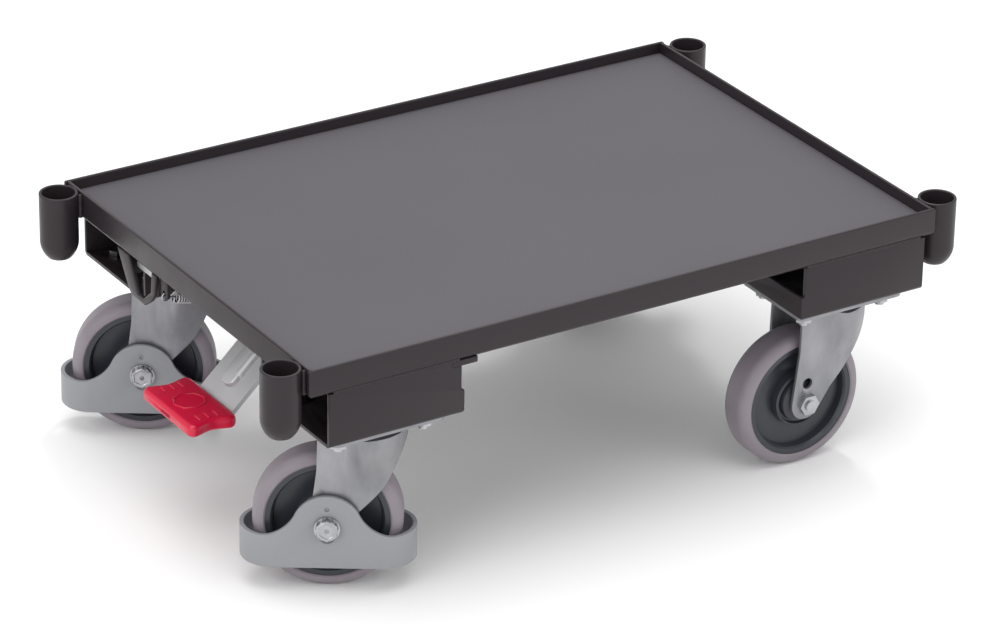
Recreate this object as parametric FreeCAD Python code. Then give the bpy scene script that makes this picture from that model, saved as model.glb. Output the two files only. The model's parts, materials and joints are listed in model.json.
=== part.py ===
import FreeCAD
import Part
import math
import os

# ---- driving dimensions, millimetres; the floor is z = 0 and the deck centre is x = y = 0 ----
FRAME_LENGTH = 614.0
FRAME_WIDTH = 422.0
RAIL_LEG = 25.0
RAIL_THICK = 3.0
RAIL_HEEL = 4.0
RAIL_ROOT = 1.0
RAIL_TOE = 1.0
RAIL_END_ROUND = 6.0
RAIL_OVERHANG = 1.5
WELD_GAP = 0.05
RIM_Z = 234.0
BOARD_THICK = 12.0
BOARD_GAP = 0.5

SOCKET_OUTER_R = 16.85
SOCKET_BORE_R = 14.25
SOCKET_LENGTH = 60.0
SOCKET_END_R = 10.2
SOCKET_NECK_R = 22.0
SOCKET_INSET = 19.0
SOCKET_LIP_R = 1.0
SEAM_HALF = 9.0
SEAM_DEPTH = 3.0

BOX_FLOOR_Z = 160.0
BOX_SHEET = 3.0
BOX_BEND = 4.0
BOX_INNER_BEND = 1.0
BOX_WIDTH = 111.0
BOX_LENGTH = 127.0
BOX_LIP = 22.0
LEFT_BOX_END = -290.0
RIGHT_BOX_END = 298.5
BOX_CENTRE_HOLE_R = 13.0

CROSS_BAR_X = -162.5
CROSS_BAR_WIDE = 25.0
CROSS_BAR_THICK = 5.0

BRACKET_X = -306.5
BRACKET_THICK = 4.0
BRACKET_GAP = 0.3
BRACKET_FLANGE_Z = 188.0
BRACKET_LOW_Z = 173.5

CASTER_X = 229.5
CASTER_Y = 160.0
TURN_LEFT = -32.35
TURN_RIGHT = 0.0
PLATE_X = 108.0
PLATE_Y = 92.0
PLATE_THICK = 4.0
PLATE_CORNER = 8.0
HOLE_PITCH_X = 80.0
HOLE_PITCH_Y = 60.0
HOLE_R = 4.5
SEAL_R = 34.0
SEAL_BORE_R = 24.0
BALL_R = 3.4
BALL_RING_R = 18.0
BALL_COUNT = 12
SEAL_GAP = 0.35
KINGPIN_R = 9.0
KINGPIN_HEAD_R = 14.0
KINGPIN_HEAD_Z = 138.5
KINGPIN_BORE_R = 4.05
RUN_FIT = 0.05

CROWN_R = 38.0
CROWN_Z = 148.0
CROWN_SKIRT_Z = 140.0
NECK_Z = 90.0
NECK_SECTIONS = 5
CREASE_X = -16.0
BULGE_X = 4.0
FORK_SHEET = 3.0
LEG_OUTER = 23.5
LEG_END_R = 14.5
FORK_REAR = -44.0
FORK_SECTION_STEPS = 14
FORK_SPARE_HOLE_R = 5.0
FORK_SPARE_HOLE_UP = 19.0

WHEEL_R = 62.5
TREAD_WIDE = 32.0
TREAD_ROUND = 9.0
TREAD_SEAT_R = 52.0
TRAIL = 27.5
CORE_WIDE = 29.0
CORE_RIM_IN_R = 47.5
WEB_HALF = 6.0
HUB_R = 21.0
HUB_HALF = 19.5
AXLE_R = 5.0
AXLE_HEAD_FLAT = 17.0
AXLE_HEAD_HIGH = 4.0
AXLE_WASHER_R = 11.0
AXLE_WASHER_THICK = 1.5
AXLE_NUT_HIGH = 5.5

GUARD_HALF_LONG = 73.5
GUARD_OUTER = 28.5
GUARD_WALL = 3.5
GUARD_LOW_Z = 25.0
GUARD_BAND_Z = 54.0
GUARD_DOME_R = 29.0
GUARD_BLEND_R = 34.0
GUARD_TRAVEL = 8.0
GUARD_SLOT_R = 5.08
GUARD_RECESS_R = 6.5
GUARD_RECESS = 1.5
GUARD_DIMPLE_R = 2.0
GUARD_DIMPLE_UP = 17.0
GUARD_PLAY = 0.3

BOLT_R = 4.0
BOLT_FLAT = 13.0
BOLT_HEAD_HIGH = 5.3
BOLT_WASHER_R = 8.0
BOLT_WASHER_BORE_R = 4.2
BOLT_WASHER_THICK = 1.6
BOLT_NUT_HIGH = 6.5
BOLT_LOW_Z = 144.9

SHAFT_X = -213.0
SHAFT_Z = 180.0
SHAFT_R = 8.0
SHAFT_HALF = 176.0
BUSH_R = 10.0
BUSH_FLANGE_R = 13.0
COLLAR_R = 12.5
COLLAR_WIDE = 6.0
PRESS_RING_R = 11.0
PRESS_NOSE_R = 4.5
PRESS_NOSE_GAP = 0.35

ARM_WIDE = 55.0
ARM_SHEET = 4.0
ARM_LOW_X = -274.4
ARM_LOW_Z = 112.2
ARM_ANGLE = 43.4
ARM_BEAD_R = 4.5
ARM_BEAD_Y = -5.0

PAD_X = -303.0
PAD_LONG = 46.0
PAD_WIDE = 91.0
PAD_TOP_Z = 113.5
PAD_THICK = 11.5
PAD_CORNER = 7.0
PAD_WAIST = 5.0
PAD_CORE_Z = 105.0

PLUNGER_R = 4.0
PLUNGER_HEAD_R = 5.0
PLUNGER_HEAD_HIGH = 6.0
PLUNGER_TOP_Z = 177.4
SHOE_R = 8.0
SHOE_Z = 127.5
SHOE_HIGH = 3.0

SPRING_Y = 40.0
SPRING_R = 4.75
SPRING_WIRE_R = 0.8
SPRING_PITCH = 2.6
SPRING_EYE_R = 3.4
SPRING_LEAD = 9.0
SPRING_LOOP = 14.0
TAB_X = -302.5
TAB_THICK = 3.0
TAB_STRIP = 3.0
TAB_HOLE_R = 2.2
HOOK_Z = 193.5
LEVER_EYE = (-28.0, -2.0)
LEVER_SLOT_END = (-31.5, 0.8)
LEVER_SLOT_R = 1.9
LEVER_THICK = 3.0

HALF_L = FRAME_LENGTH / 2
HALF_W = FRAME_WIDTH / 2
RAIL_LOW_Z = RIM_Z - RAIL_LEG
BOARD_LOW_Z = RAIL_LOW_Z + RAIL_THICK
AXLE_Z = WHEEL_R
X_AXIS = FreeCAD.Vector(1, 0, 0)
Y_AXIS = FreeCAD.Vector(0, 1, 0)
Z_AXIS = FreeCAD.Vector(0, 0, 1)


def vec(x, y, z):
    return FreeCAD.Vector(x, y, z)


def box(x0, x1, y0, y1, z0, z1):
    return Part.makeBox(x1 - x0, y1 - y0, z1 - z0, vec(x0, y0, z0))


def rod(radius, start, length, direction=Z_AXIS):
    return Part.makeCylinder(radius, length, start, direction)


def hexagon(flat, high, start, direction):
    """Six-sided prism, for bolt heads and nuts."""
    reach = flat / math.sqrt(3)
    prism = []
    for k in range(7):
        turn = math.radians(60 * k)
        prism.append(vec(reach * math.cos(turn), reach * math.sin(turn), 0))
    solid = Part.Face(Part.makePolygon(prism)).extrude(vec(0, 0, high))
    solid.Placement = FreeCAD.Placement(start, FreeCAD.Rotation(Z_AXIS, direction))
    return solid


def outline(corners):
    """Closed wire through (point, radius) corners, each corner rounded by its radius."""
    edges = []
    ends = []
    count = len(corners)
    for k in range(count):
        here, radius = corners[k]
        before = corners[k - 1][0]
        after = corners[(k + 1) % count][0]
        if radius <= 0:
            ends.append((here, here))
            continue
        back = (before - here).normalize()
        ahead = (after - here).normalize()
        half = back.getAngle(ahead) / 2
        reach = radius / math.tan(half)
        start = here + back * reach
        stop = here + ahead * reach
        middle = here + (back + ahead).normalize() * (radius / math.sin(half) - radius)
        edges.append((k, Part.Arc(start, middle, stop).toShape()))
        ends.append((start, stop))
    arcs = dict(edges)
    chain = []
    for k in range(count):
        if k in arcs:
            chain.append(arcs[k])
        leave = ends[k][1]
        enter = ends[(k + 1) % count][0]
        if leave.distanceToPoint(enter) > 1e-6:
            chain.append(Part.LineSegment(leave, enter).toShape())
    return Part.Wire(chain)


def slab(corners, along):
    """Solid made by pushing a rounded outline along a vector."""
    return Part.Face(outline(corners)).extrude(along)


def in_xz(points, y):
    return [(vec(x, y, z), r) for x, z, r in points]


def in_yz(points, x):
    return [(vec(x, y, z), r) for y, z, r in points]


def in_xy(points, z):
    return [(vec(x, y, z), r) for x, y, r in points]


def fused(shapes):
    first = shapes[0]
    for other in shapes[1:]:
        first = first.fuse(other)
    return first.removeSplitter()


def flipped(shape, across_y):
    if not across_y:
        return shape
    return shape.mirror(vec(0, 0, 0), Y_AXIS)


def turned_part(profile, axis_x, axis_y, axis_z, direction):
    """Ring or disc from (radius, along) points, spun about a line through a point."""
    points = [vec(r, 0, a) for r, a in profile]
    points.append(points[0])
    solid = Part.Face(Part.makePolygon(points)).revolve(vec(0, 0, 0), Z_AXIS, 360)
    solid.Placement = FreeCAD.Placement(
        vec(axis_x, axis_y, axis_z), FreeCAD.Rotation(Z_AXIS, direction))
    return solid


# ---------------------------------------------------------------- frame

def long_rail(back):
    """Angle rail along x: the web is cut with rounded ends, the flange stops short of the web."""
    end = HALF_L + RAIL_OVERHANG
    profile = [
        (-HALF_W, RAIL_LOW_Z, RAIL_HEEL),
        (-HALF_W + RAIL_LEG, RAIL_LOW_Z, RAIL_TOE),
        (-HALF_W + RAIL_LEG, RAIL_LOW_Z + RAIL_THICK, RAIL_TOE),
        (-HALF_W + RAIL_THICK, RAIL_LOW_Z + RAIL_THICK, RAIL_ROOT),
        (-HALF_W + RAIL_THICK, RIM_Z, RAIL_TOE),
        (-HALF_W, RIM_Z, RAIL_TOE),
    ]
    rail = slab(in_yz(profile, -end), vec(2 * end, 0, 0))
    trim = slab(in_xz([
        (-end, RAIL_LOW_Z, RAIL_END_ROUND),
        (end, RAIL_LOW_Z, RAIL_END_ROUND),
        (end, RIM_Z, RAIL_TOE * 2),
        (-end, RIM_Z, RAIL_TOE * 2),
    ], -HALF_W), vec(0, RAIL_LEG, 0))
    rail = rail.common(trim)
    for side in (-1, 1):
        inner = HALF_L - RAIL_THICK - WELD_GAP
        x0, x1 = sorted((side * inner, side * (end + RAIL_LEG)))
        rail = rail.cut(box(x0, x1, -HALF_W + RAIL_THICK, -HALF_W + RAIL_LEG + 1,
                            RAIL_LOW_Z - 1, RAIL_LOW_Z + RAIL_THICK + RAIL_ROOT + 1))
    return flipped(rail, back)


def short_rail(right):
    """Angle rail along y, fitted between the webs of the long rails, flange coped to miss theirs."""
    reach = HALF_W - RAIL_THICK - WELD_GAP
    profile = [
        (-HALF_L, RAIL_LOW_Z, RAIL_HEEL),
        (-HALF_L + RAIL_LEG, RAIL_LOW_Z, RAIL_TOE),
        (-HALF_L + RAIL_LEG, RAIL_LOW_Z + RAIL_THICK, RAIL_TOE),
        (-HALF_L + RAIL_THICK, RAIL_LOW_Z + RAIL_THICK, RAIL_ROOT),
        (-HALF_L + RAIL_THICK, RIM_Z, RAIL_TOE),
        (-HALF_L, RIM_Z, RAIL_TOE),
    ]
    rail = slab(in_xz(profile, -reach), vec(0, 2 * reach, 0))
    cope = HALF_W - RAIL_LEG - WELD_GAP
    for side in (-1, 1):
        y0, y1 = sorted((side * cope, side * HALF_W))
        rail = rail.cut(box(-HALF_L + RAIL_THICK, -HALF_L + RAIL_LEG + 1, y0, y1,
                            RAIL_LOW_Z - 1, RAIL_LOW_Z + RAIL_THICK + RAIL_ROOT + 1))
    if right:
        rail = rail.mirror(vec(0, 0, 0), X_AXIS)
    return rail


def deck_board():
    """Coated board lying on the flanges, inside the rim."""
    x = HALF_L - RAIL_THICK - BOARD_GAP
    y = HALF_W - RAIL_THICK - BOARD_GAP
    low = BOARD_LOW_Z
    plan = [(-x, -y, 2.0), (x, -y, 2.0), (x, y, 2.0), (-x, y, 2.0)]
    board = slab(in_xy(plan, low), vec(0, 0, BOARD_THICK))
    for side_y in (-1, 1):
        relief = rod(RAIL_ROOT + 0.3, vec(-x, side_y * (y + BOARD_GAP), low), 2 * x, X_AXIS)
        board = board.cut(relief)
    for side_x in (-1, 1):
        relief = rod(RAIL_ROOT + 0.3, vec(side_x * (x + BOARD_GAP), -y, low), 2 * y, Y_AXIS)
        board = board.cut(relief)
    return board


def corner_socket(side_x, side_y):
    """Upright tube with a swaged lower end, welded to the outer face of a short rail."""
    x = side_x * (HALF_L + SOCKET_OUTER_R + WELD_GAP)
    y = side_y * (HALF_W - SOCKET_INSET)
    low = RIM_Z - SOCKET_LENGTH
    wall = SOCKET_OUTER_R - SOCKET_BORE_R
    drop = wall / math.sqrt(2)
    inner_end = SOCKET_END_R - drop
    lip = SOCKET_LIP_R
    section = outline([
        (vec(SOCKET_BORE_R, 0, RIM_Z), lip), (vec(SOCKET_OUTER_R, 0, RIM_Z), lip),
        (vec(SOCKET_OUTER_R, 0, low + SOCKET_OUTER_R - SOCKET_END_R), SOCKET_NECK_R),
        (vec(SOCKET_END_R, 0, low), 0), (vec(inner_end, 0, low + drop), 0),
        (vec(SOCKET_BORE_R, 0, low + drop + SOCKET_BORE_R - inner_end), SOCKET_NECK_R - wall),
    ])
    tube = Part.Face(section).revolve(vec(0, 0, 0), Z_AXIS, 360)
    tube.translate(vec(x, y, 0))
    seam = box(HALF_L + WELD_GAP, HALF_L + WELD_GAP + SEAM_DEPTH, y - SEAM_HALF, y + SEAM_HALF,
               RAIL_LOW_Z + RAIL_HEEL + 1, RIM_Z - 3)
    if side_x < 0:
        seam = seam.mirror(vec(0, 0, 0), X_AXIS)
    seam = seam.cut(rod(SOCKET_BORE_R + wall / 2, vec(x, y, low), SOCKET_LENGTH))
    return fused([tube, seam])


def bolt_points(side_x, side_y):
    points = []
    for dx in (-HOLE_PITCH_X / 2, HOLE_PITCH_X / 2):
        for dy in (-HOLE_PITCH_Y / 2, HOLE_PITCH_Y / 2):
            points.append((side_x * CASTER_X + dx, side_y * CASTER_Y + dy))
    return points


def caster_box(side_x, side_y):
    """Folded sheet: outer wall under the long rail, floor, inner wall, short lip at the inboard end."""
    if side_x < 0:
        outer_end = LEFT_BOX_END
        inner_end = LEFT_BOX_END + BOX_LENGTH
    else:
        outer_end = RIGHT_BOX_END
        inner_end = RIGHT_BOX_END - BOX_LENGTH
    inward = -side_x
    wall_end = inner_end - inward * BOX_SHEET
    y_out = -HALF_W
    y_in = -HALF_W + BOX_WIDTH
    top = RAIL_LOW_Z
    low = BOX_FLOOR_Z
    profile = [
        (y_out, low, BOX_BEND),
        (y_in, low, BOX_BEND),
        (y_in, top, 0),
        (y_in - BOX_SHEET, top, 0),
        (y_in - BOX_SHEET, low + BOX_SHEET, BOX_INNER_BEND),
        (y_out + BOX_SHEET, low + BOX_SHEET, BOX_INNER_BEND),
        (y_out + BOX_SHEET, top, 0),
        (y_out, top, 0),
    ]
    x0, x1 = sorted((outer_end, inner_end))
    channel = slab(in_yz(profile, x0), vec(x1 - x0, 0, 0))
    side = [
        (outer_end, low, 0),
        (inner_end, low, BOX_BEND),
        (inner_end, low + BOX_LIP, BOX_SHEET * 0.4),
        (wall_end, low + BOX_LIP, 0),
        (wall_end, top, 0),
        (outer_end, top, 0),
    ]
    channel = channel.common(slab(in_xz(side, y_out), vec(0, BOX_WIDTH, 0)))
    lip = slab(in_xz([
        (wall_end, low + BOX_SHEET, 0),
        (inner_end, low + BOX_SHEET, 0),
        (inner_end, low + BOX_LIP, BOX_SHEET * 0.4),
        (wall_end, low + BOX_LIP, BOX_SHEET * 0.4),
    ], y_out + BOX_SHEET), vec(0, BOX_WIDTH - 2 * BOX_SHEET, 0))
    shape = fused([channel, lip])
    if side_y > 0:
        shape = shape.mirror(vec(0, 0, 0), Y_AXIS)
    for x, y in bolt_points(side_x, side_y):
        shape = shape.cut(rod(HOLE_R, vec(x, y, low - 1), BOX_SHEET + 2))
    shape = shape.cut(rod(BOX_CENTRE_HOLE_R, vec(side_x * CASTER_X, side_y * CASTER_Y, low - 1),
                          BOX_SHEET + 2))
    if side_x < 0:
        y_wall = side_y * (HALF_W - BOX_WIDTH)
        shape = shape.cut(rod(BUSH_R, vec(SHAFT_X, y_wall - 2 * BOX_SHEET, SHAFT_Z),
                              4 * BOX_SHEET, Y_AXIS))
        notch = CROSS_BAR_X - CROSS_BAR_WIDE / 2 - WELD_GAP
        shape = shape.cut(box(notch, inner_end + 1, -HALF_W - 1, HALF_W + 1,
                              top - CROSS_BAR_THICK - WELD_GAP, top + 1))
    return shape


def cross_bar():
    """Flat bar across the frame under the long rails, at the inboard ends of the left boxes."""
    half = CROSS_BAR_WIDE / 2
    low = RAIL_LOW_Z - CROSS_BAR_THICK
    return slab(in_xy([
        (CROSS_BAR_X - half, -HALF_W, 0), (CROSS_BAR_X + half, -HALF_W, 2.0),
        (CROSS_BAR_X + half, HALF_W, 2.0), (CROSS_BAR_X - half, HALF_W, 0),
    ], low), vec(0, 0, CROSS_BAR_THICK))


def window_bracket():
    """Plate with a window hung under the left short rail, with a flange back towards the box wall."""
    top = RAIL_LOW_Z - WELD_GAP
    low = BRACKET_LOW_Z
    plate = slab(in_yz([
        (121.0, top, 0), (90.5, low, 4.0), (70.0, low, 5.0), (58.5, low + 14.0, 5.0), (58.5, top, 0),
    ], BRACKET_X), vec(BRACKET_THICK, 0, 0))
    window = slab(in_yz([
        (109.0, top - 4.5, 2.0), (88.0, low + 8.0, 3.0), (73.0, low + 8.0, 3.0), (67.0, top - 4.5, 2.0),
    ], BRACKET_X - 1), vec(BRACKET_THICK + 2, 0, 0))
    wall = HALF_W - BOX_WIDTH
    flange = box(BRACKET_X + 1, LEFT_BOX_END - BRACKET_GAP, wall, wall + BOX_SHEET, BRACKET_FLANGE_Z, top)
    return fused([plate.cut(window), flange])


def spring_tab():
    """Small plate under the short rail; the spring's eye goes round the strip below its hole."""
    half = 6.0
    low = HOOK_Z - TAB_STRIP / 2
    plate = slab(in_yz([
        (SPRING_Y - half, low, 4.0), (SPRING_Y + half, low, 4.0),
        (SPRING_Y + half, RAIL_LOW_Z - WELD_GAP, 0), (SPRING_Y - half, RAIL_LOW_Z - WELD_GAP, 0),
    ], TAB_X - TAB_THICK / 2), vec(TAB_THICK, 0, 0))
    hole = vec(TAB_X - TAB_THICK, SPRING_Y, low + TAB_STRIP + TAB_HOLE_R)
    return plate.cut(rod(TAB_HOLE_R, hole, 2 * TAB_THICK, X_AXIS))


# ---------------------------------------------------------------- casters

def at_caster(shape, side_x, side_y):
    """Turn a caster piece drawn about the origin, then move it to its corner."""
    turn = TURN_LEFT if side_x < 0 else TURN_RIGHT
    moved = shape.copy()
    spin = FreeCAD.Rotation(Z_AXIS, turn)
    here = FreeCAD.Placement(vec(side_x * CASTER_X, side_y * CASTER_Y, 0), spin)
    moved.Placement = here.multiply(moved.Placement)
    return moved


def top_plate(side_x, side_y):
    high = BOX_FLOOR_Z
    half_x = PLATE_X / 2
    half_y = PLATE_Y / 2
    corner = PLATE_CORNER
    plate = slab(in_xy([
        (-half_x, -half_y, corner), (half_x, -half_y, corner),
        (half_x, half_y, corner), (-half_x, half_y, corner),
    ], high - PLATE_THICK), vec(0, 0, PLATE_THICK))
    plate.translate(vec(side_x * CASTER_X, side_y * CASTER_Y, 0))
    for x, y in bolt_points(side_x, side_y):
        plate = plate.cut(rod(HOLE_R, vec(x, y, high - PLATE_THICK - 1), PLATE_THICK + 2))
    return plate.cut(rod(KINGPIN_R, vec(side_x * CASTER_X, side_y * CASTER_Y, high - PLATE_THICK - 1),
                         PLATE_THICK + 2))


def bearing_seal():
    """Dust ring between top plate and fork crown."""
    low = CROWN_Z + SEAL_GAP
    high = BOX_FLOOR_Z - PLATE_THICK
    return turned_part([
        (SEAL_BORE_R, low), (SEAL_R, low), (SEAL_R, low + 5.0),
        (SEAL_R - 4.0, high), (SEAL_BORE_R, high),
    ], 0, 0, 0, Z_AXIS)


def bearing_balls():
    """Ring of balls that the fork crown turns on, inside the dust ring."""
    balls = []
    middle = (CROWN_Z + SEAL_GAP + BOX_FLOOR_Z - PLATE_THICK) / 2
    for k in range(BALL_COUNT):
        turn = 2 * math.pi * k / BALL_COUNT
        spot = vec(BALL_RING_R * math.cos(turn), BALL_RING_R * math.sin(turn), middle)
        balls.append(Part.makeSphere(BALL_R, spot))
    return Part.makeCompound(balls)


def kingpin():
    """Hollow rivet that holds the fork crown to the top plate."""
    return turned_part([
        (KINGPIN_BORE_R, KINGPIN_HEAD_Z), (KINGPIN_HEAD_R - 2, KINGPIN_HEAD_Z),
        (KINGPIN_HEAD_R, KINGPIN_HEAD_Z + 2), (KINGPIN_HEAD_R, CROWN_Z - FORK_SHEET - SEAL_GAP),
        (KINGPIN_R, CROWN_Z - FORK_SHEET - SEAL_GAP), (KINGPIN_R, BOX_FLOOR_Z),
        (KINGPIN_BORE_R, BOX_FLOOR_Z),
    ], 0, 0, 0, Z_AXIS)


def fork_section(inset, z, rear):
    """Flat legs that swell past a soft crease to a round front; the swelling dies out down the neck."""
    share = min(max((z - NECK_Z) / (CROWN_SKIRT_Z - NECK_Z), 0.0), 1.0)
    share = share * share * (3 - 2 * share)
    leg = LEG_OUTER - inset
    reach = CROWN_R - inset
    bulge = leg + (reach - leg) * share
    side = []
    for step in range(FORK_SECTION_STEPS):
        along = step / FORK_SECTION_STEPS
        x = CREASE_X + (reach - CREASE_X) * math.sin(along * math.pi / 2)
        ease = min((x - CREASE_X) / (BULGE_X - CREASE_X), 1.0)
        ease = ease * ease * (3 - 2 * ease)
        arc = bulge * math.sqrt(1 - (max(x, 0.0) / reach) ** 2)
        if x < 0:
            arc = bulge * math.sqrt(1 - (x / reach) ** 2) if bulge > leg + 1 else leg
        side.append((x, leg + (arc - leg) * ease))
    points = [vec(x, -y, z) for x, y in side] + [vec(reach, 0, z)] + [vec(x, y, z) for x, y in reversed(side)]
    front = Part.BSplineCurve()
    front.interpolate(Points=points, InitialTangent=vec(1, 0, 0), FinalTangent=vec(-1, 0, 0))
    corners = [vec(CREASE_X, leg, z), vec(rear, leg, z), vec(rear, -leg, z), vec(CREASE_X, -leg, z)]
    sides = [Part.makeLine(a, b) for a, b in zip(corners, corners[1:])]
    return Part.Wire([front.toShape()] + sides)


def fork_form(inset, past):
    """Solid form of the fork: legs with a straight section, neck swelling to the crown."""
    low = AXLE_Z - LEG_END_R - 1 - past
    top = CROWN_Z - inset
    rear = FORK_REAR - past
    legs = Part.Face(fork_section(inset, low, rear)).extrude(vec(0, 0, NECK_Z - low))
    levels = [NECK_Z + (CROWN_SKIRT_Z - NECK_Z) * step / (NECK_SECTIONS - 1) for step in range(NECK_SECTIONS)]
    neck = Part.makeLoft([fork_section(inset, z, rear) for z in levels], True, False)
    crown = Part.Face(fork_section(inset, CROWN_SKIRT_Z, rear)).extrude(vec(0, 0, top - CROWN_SKIRT_Z))
    return fused([legs, neck, crown])


def fork():
    """Pressed fork: the skirt closes the front, the two legs trail back to the axle."""
    top = CROWN_Z
    cx = -TRAIL
    shell = fork_form(0, 0).cut(fork_form(FORK_SHEET, 1))
    silhouette = slab(in_xz([
        (-35.5, top, 0), (-36.5, 112.0, 60.0), (cx - LEG_END_R - 0.5, AXLE_Z + 2, 20.0),
        (cx - LEG_END_R, AXLE_Z - LEG_END_R, LEG_END_R - 1.0),
        (cx + 7.0, AXLE_Z - LEG_END_R, LEG_END_R - 1.0),
        (-3.0, 74.0, 40.0), (19.5, 97.0, 60.0),
        (CROWN_R + 1, CROWN_Z - 5.0, 2.0), (CROWN_R + 1, top, 0),
    ], -CROWN_R - 1), vec(0, 2 * CROWN_R + 2, 0))
    shell = shell.common(silhouette)
    shell = shell.cut(rod(KINGPIN_R + RUN_FIT, vec(0, 0, top - 2 * FORK_SHEET), 3 * FORK_SHEET))
    shell = shell.cut(rod(AXLE_R, vec(cx, -CROWN_R, AXLE_Z), 2 * CROWN_R, Y_AXIS))
    return shell.cut(rod(FORK_SPARE_HOLE_R, vec(cx, -CROWN_R, AXLE_Z + FORK_SPARE_HOLE_UP),
                         2 * CROWN_R, Y_AXIS))


def wheel_core():
    """Plastic wheel body: rim, dished web and hub with a plain bore."""
    rim = CORE_WIDE / 2
    half = [
        (TREAD_SEAT_R, rim), (CORE_RIM_IN_R, rim), (CORE_RIM_IN_R - 1.5, rim - 2.0),
        (CORE_RIM_IN_R - 3.0, WEB_HALF + 0.5), (HUB_R + 5.0, WEB_HALF), (HUB_R + 4.0, HUB_HALF - 6.0),
        (HUB_R + 2.0, HUB_HALF - 5.0), (HUB_R + 1.0, HUB_HALF - 8.0), (HUB_R - 0.5, HUB_HALF - 8.0),
        (HUB_R - 1.5, HUB_HALF - 3.5), (AXLE_R + 5.0, HUB_HALF), (AXLE_R + RUN_FIT, HUB_HALF),
    ]
    mirrored = [(r, -a) for r, a in reversed(half)]
    return turned_part(half + mirrored, -TRAIL, 0, AXLE_Z, Y_AXIS)


def tread():
    """Rubber tyre with rounded shoulders."""
    half = TREAD_WIDE / 2
    corner = TREAD_ROUND
    seat = TREAD_SEAT_R
    side = seat + 1.2
    section = outline([
        (vec(seat, 0, -half + 1.0), 0), (vec(side, 0, -half), 0),
        (vec(WHEEL_R, 0, -half), corner), (vec(WHEEL_R, 0, half), corner),
        (vec(side, 0, half), 0), (vec(seat, 0, half - 1.0), 0),
    ])
    ring = Part.Face(section).revolve(vec(0, 0, 0), Z_AXIS, 360)
    ring.Placement = FreeCAD.Placement(
        vec(-TRAIL, 0, AXLE_Z), FreeCAD.Rotation(Z_AXIS, Y_AXIS))
    return ring


def axle_bolt(guarded):
    """Flanged hex bolt; on the guarded casters the head sits outside the guard."""
    seat = GUARD_OUTER + GUARD_PLAY if guarded else LEG_OUTER
    tail = seat + AXLE_NUT_HIGH + 2.0
    washer = AXLE_WASHER_THICK
    shank = rod(AXLE_R, vec(-TRAIL, -seat, AXLE_Z), seat + tail, Y_AXIS)
    flange = rod(AXLE_WASHER_R, vec(-TRAIL, -seat - washer, AXLE_Z), washer, Y_AXIS)
    head = hexagon(AXLE_HEAD_FLAT, AXLE_HEAD_HIGH, vec(-TRAIL, -seat - washer, AXLE_Z), -Y_AXIS)
    dome = rod(AXLE_HEAD_FLAT / 2, vec(-TRAIL, -seat - washer - AXLE_HEAD_HIGH, AXLE_Z),
               AXLE_HEAD_HIGH, Y_AXIS)
    rounded = dome.makeFillet(1.5, [dome.Edges[0]])
    head = fused([head.common(rod(AXLE_HEAD_FLAT * 0.55, vec(-TRAIL, -seat - washer - 4.0, AXLE_Z),
                                  4.0, Y_AXIS)), rounded])
    bolt = fused([shank, flange, head])
    if not guarded:
        bolt = bolt.mirror(vec(0, 0, 0), Y_AXIS)
    return bolt


def axle_nut(guarded):
    seat = GUARD_OUTER + GUARD_PLAY if guarded else LEG_OUTER
    nut = hexagon(AXLE_HEAD_FLAT, AXLE_NUT_HIGH, vec(-TRAIL, seat, AXLE_Z), Y_AXIS)
    nut = nut.cut(rod(AXLE_R, vec(-TRAIL, seat - 1, AXLE_Z), AXLE_NUT_HIGH + 2, Y_AXIS))
    if not guarded:
        nut = nut.mirror(vec(0, 0, 0), Y_AXIS)
    return nut


def guard_face():
    """Side view of the guard: straight band with a dome blended up round the axle."""
    left = -TRAIL - GUARD_HALF_LONG
    right = -TRAIL + GUARD_HALF_LONG
    band = box(left, right, -GUARD_OUTER, GUARD_OUTER, GUARD_LOW_Z, GUARD_BAND_Z)
    dome = rod(GUARD_DOME_R, vec(-TRAIL, -GUARD_OUTER, AXLE_Z), 2 * GUARD_OUTER, Y_AXIS)
    # centre of the blending arc touches the dome and the top of the band
    rise = GUARD_BAND_Z + GUARD_BLEND_R - AXLE_Z
    offset = math.sqrt((GUARD_DOME_R + GUARD_BLEND_R) ** 2 - rise ** 2)
    touch = GUARD_DOME_R / (GUARD_DOME_R + GUARD_BLEND_R)
    fill = Part.makePolygon([
        vec(-TRAIL - offset, 0, GUARD_BAND_Z), vec(-TRAIL + offset, 0, GUARD_BAND_Z),
        vec(-TRAIL + offset * touch, 0, AXLE_Z + rise * touch),
        vec(-TRAIL - offset * touch, 0, AXLE_Z + rise * touch),
        vec(-TRAIL - offset, 0, GUARD_BAND_Z),
    ])
    web = Part.Face(fill).extrude(vec(0, 2 * GUARD_OUTER, 0))
    web.translate(vec(0, -GUARD_OUTER, 0))
    for side in (-1, 1):
        web = web.cut(rod(GUARD_BLEND_R, vec(-TRAIL + side * offset, -GUARD_OUTER - 1,
                                             GUARD_BAND_Z + GUARD_BLEND_R),
                          2 * GUARD_OUTER + 2, Y_AXIS))
    return fused([band, dome, web])


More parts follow.
